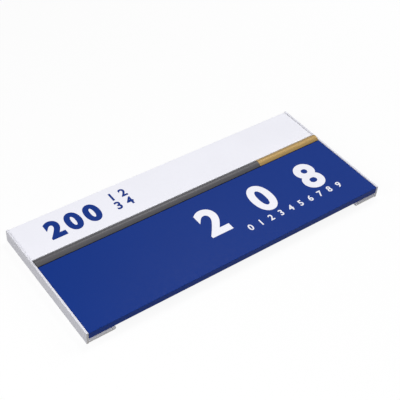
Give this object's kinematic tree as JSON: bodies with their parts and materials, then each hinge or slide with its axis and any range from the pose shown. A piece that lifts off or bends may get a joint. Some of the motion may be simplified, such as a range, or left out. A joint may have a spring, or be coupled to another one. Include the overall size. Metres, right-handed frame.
{
  "type": "door name plate",
  "caption": "Modular door name plate: extruded header and name panels slide along side rails, with a two-tone half-round bead between them and tape or screw fixing at the back.",
  "frame": {"origin": "middle of the plate's back, on the plane of the release liners", "axes": "+X along the plate, +Y up the plate towards the header, +Z out of its face"},
  "size_m": [0.28, 0.12, 0.013],
  "materials": {
    "white_rail": "satin",
    "white_panel": "satin",
    "blue_panel": "satin",
    "black_anodised": "satin",
    "grey_anodised": "satin",
    "gold_anodised": "satin",
    "zinc_steel": "satin",
    "foam_tape": "matte",
    "liner_paper": "matte",
    "nylon": "satin"
  },
  "bodies": {
    "frame": {"left_rail": "white_rail", "right_rail": "white_rail", "bead_carrier": "black_anodised", "grey_bead": "grey_anodised", "gold_bead": "gold_anodised", "carrier_screws": "zinc_steel", "left_tape": "foam_tape", "right_tape": "foam_tape", "left_liner": "liner_paper", "right_liner": "liner_paper"},
    "header": {"header_panel": "white_panel", "header_clip_left_lower": "nylon", "header_clip_left_upper": "nylon", "header_clip_right_lower": "nylon", "header_clip_right_upper": "nylon"},
    "name": {"name_panel": "blue_panel", "name_clip_left_lower": "nylon", "name_clip_left_upper": "nylon", "name_clip_right_lower": "nylon", "name_clip_right_upper": "nylon"}
  },
  "joints": [
    {"name": "header_panel_slide", "type": "slide", "parent": "frame", "child": "header", "axis": [0, 1, 0], "range_m": [0, 0.042]},
    {"name": "name_panel_slide", "type": "slide", "parent": "frame", "child": "name", "axis": [0, -1, 0], "range_m": [0, 0.075]}
  ]
}
